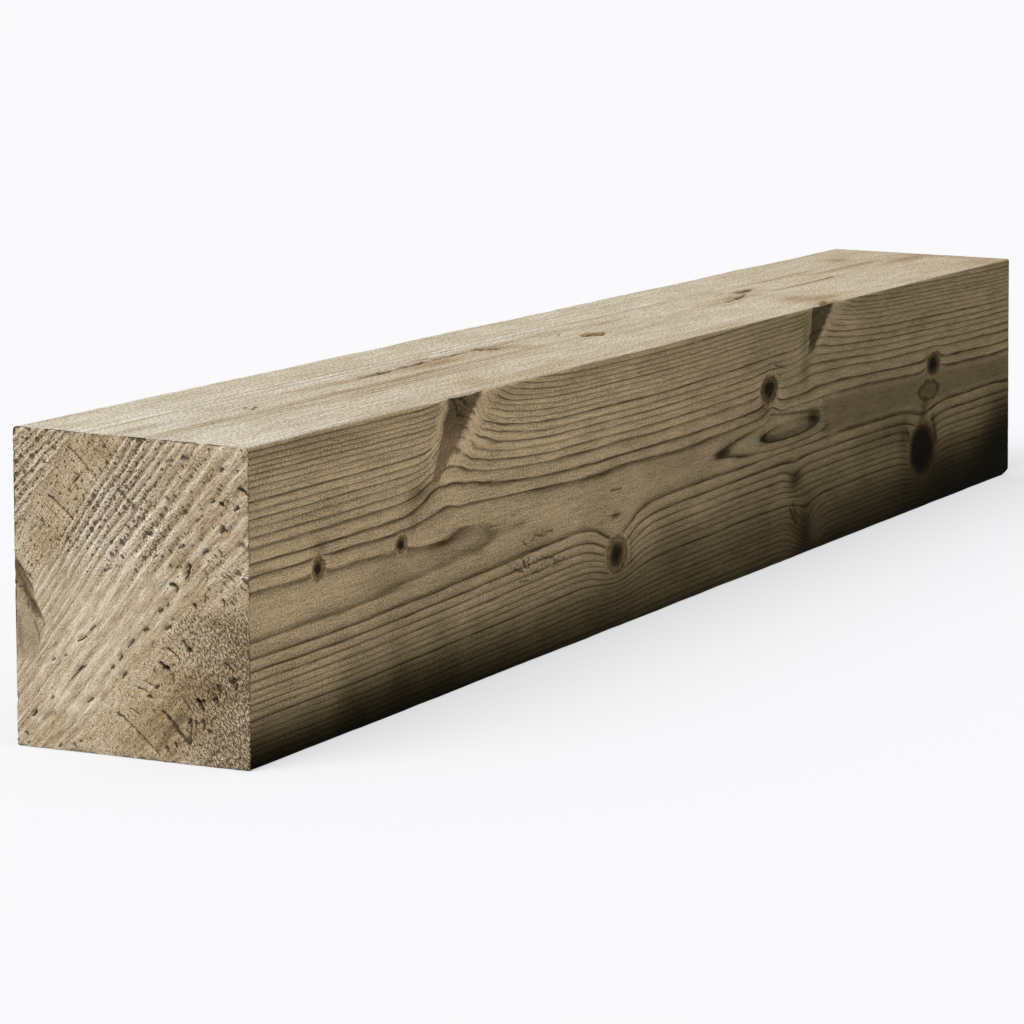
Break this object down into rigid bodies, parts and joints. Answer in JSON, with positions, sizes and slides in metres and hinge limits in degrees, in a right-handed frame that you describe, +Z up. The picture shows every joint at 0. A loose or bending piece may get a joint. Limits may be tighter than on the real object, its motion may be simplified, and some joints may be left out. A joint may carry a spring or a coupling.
{
  "type": "pressure-treated sawn timber",
  "caption": "Rough-sawn squared softwood baulk, nearly square in section, pressure treated for ground contact: edging, posts and bearers.",
  "frame": {"origin": "on the ground, under the middle of the timber's box", "axes": "+X along the timber, from its leaning near end to its square far end; -Y out of its front face; +Z up"},
  "size_m": [1.3, 0.175, 0.2033],
  "materials": {
    "treated_wood": "rough sawn, pressure treated, grey-brown with a faint green cast"
  },
  "bodies": {
    "root": {"treated_timber": "treated_wood"}
  },
  "joints": []
}
